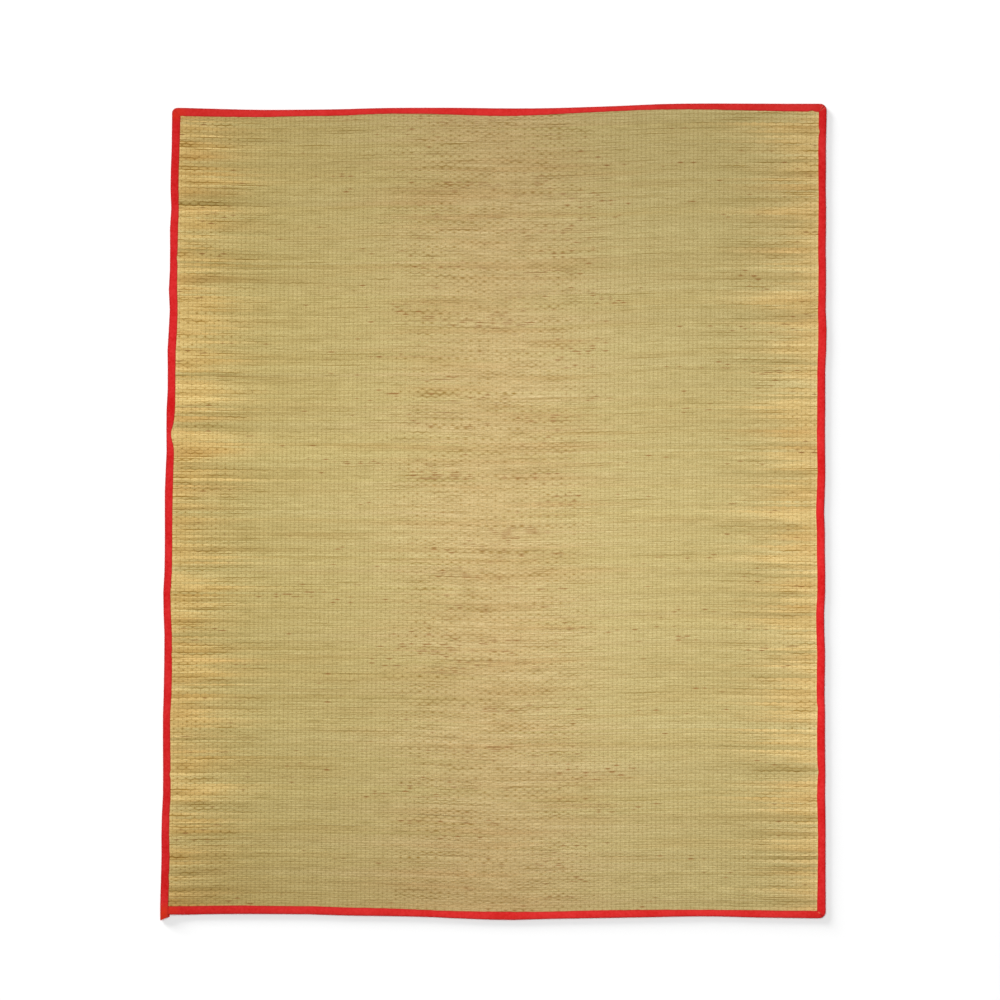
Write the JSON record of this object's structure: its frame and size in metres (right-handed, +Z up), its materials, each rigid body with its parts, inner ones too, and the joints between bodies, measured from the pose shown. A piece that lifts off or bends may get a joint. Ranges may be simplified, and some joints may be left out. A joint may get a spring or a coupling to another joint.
{
  "type": "synthetic straw mat",
  "caption": "Flat rectangular woven straw floor mat, its edges bound by a folded red tape with mitred corners and a raw cut tail at one corner.",
  "frame": {"origin": "on the floor, under the middle of the mat's bounding box", "axes": "+Z up, away from the floor; +Y along the mat's length and its warp threads; +X along its straws"},
  "size_m": [1.5, 1.8378, 0.0064],
  "materials": {
    "straw": "satin straws of golden, olive and tan yellow, woven on thin warp threads",
    "tape": "plain red woven tape, matt"
  },
  "bodies": {
    "root": {"woven_panel": "straw", "binding_tape": "tape"}
  },
  "joints": []
}
